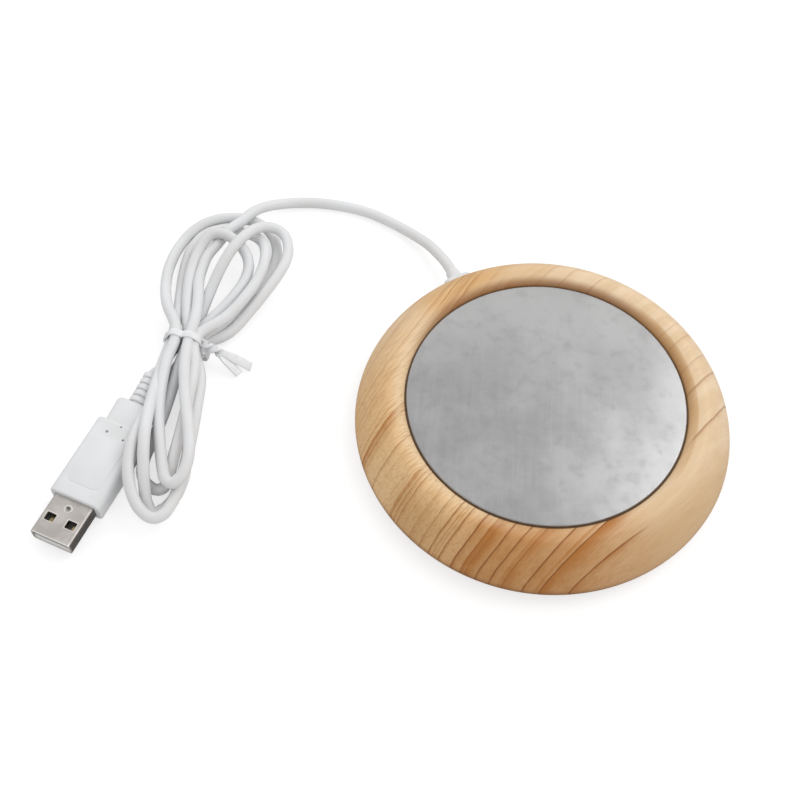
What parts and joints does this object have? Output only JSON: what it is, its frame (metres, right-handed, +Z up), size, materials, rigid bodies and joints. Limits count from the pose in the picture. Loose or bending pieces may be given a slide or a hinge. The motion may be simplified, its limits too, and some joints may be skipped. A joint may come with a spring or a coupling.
{
  "type": "electric mug warmer",
  "caption": "Round mug warmer: a brushed metal plate set in a wood-grain ring, with a thin white cord wound into a tied hank and a USB-A plug.",
  "frame": {"origin": "on the table, under the centre of the ring", "axes": "+X to the right, +Y to the back, +Z up; the cord leaves at the back left"},
  "size_m": [0.1903, 0.1342, 0.0172],
  "materials": {
    "wood_grain_shell": "satin shell with a light wood-grain print",
    "brushed_plate": "brushed, cloudy",
    "gasket_rubber": "matt black silicone",
    "heater_film": "amber polyimide film",
    "heater_track": "etched resistive foil",
    "solder": "bright solder",
    "felt": "needled glass felt",
    "zinc_sheet": "zinc-plated sheet",
    "screw_steel": "zinc-plated steel",
    "cutout_case": "tinned metal case",
    "spring_steel": "spring strip with steel rivets",
    "base_plastic": "fine-textured moulding",
    "foot_rubber": "matt black rubber",
    "white_moulding": "smooth white moulding",
    "cord_pvc": "soft white cord jacket",
    "red_insulation": "smooth",
    "black_insulation": "smooth",
    "glass_sleeving": "braided glass sleeving",
    "tie_plastic": "flat ribbed strip",
    "plug_shell": "nickel-plated sheet",
    "tongue_plastic": "smooth",
    "contact_gold": "gold-plated"
  },
  "bodies": {
    "root": {"wood_grain_ring": "wood_grain_shell", "heating_plate": "brushed_plate", "plate_gasket": "gasket_rubber", "heater_film": "heater_film", "heater_track": "heater_track", "solder_joints": "solder", "insulation_pad": "felt", "retainer_plate": "zinc_sheet", "retainer_screws": "screw_steel", "thermal_cutout": "cutout_case", "cutout_clip": "spring_steel", "base_cover": "base_plastic", "base_screws": "screw_steel", "foot_rear": "foot_rubber", "foot_left": "foot_rubber", "foot_front": "foot_rubber", "foot_right": "foot_rubber", "cord_gland": "white_moulding", "cord_inside": "cord_pvc", "cord_clamp": "base_plastic", "clamp_screws": "screw_steel", "red_wire": "red_insulation", "black_wire": "black_insulation", "link_wire": "glass_sleeving", "red_sleeve": "glass_sleeving", "link_sleeve": "glass_sleeving", "cord_lead": "cord_pvc", "cord_hank": "cord_pvc", "cord_tail": "cord_pvc", "twist_tie": "tie_plastic", "usb_overmould": "white_moulding", "usb_core": "tongue_plastic", "usb_shell": "plug_shell", "usb_tongue": "tongue_plastic", "usb_contacts": "contact_gold"}
  },
  "joints": []
}
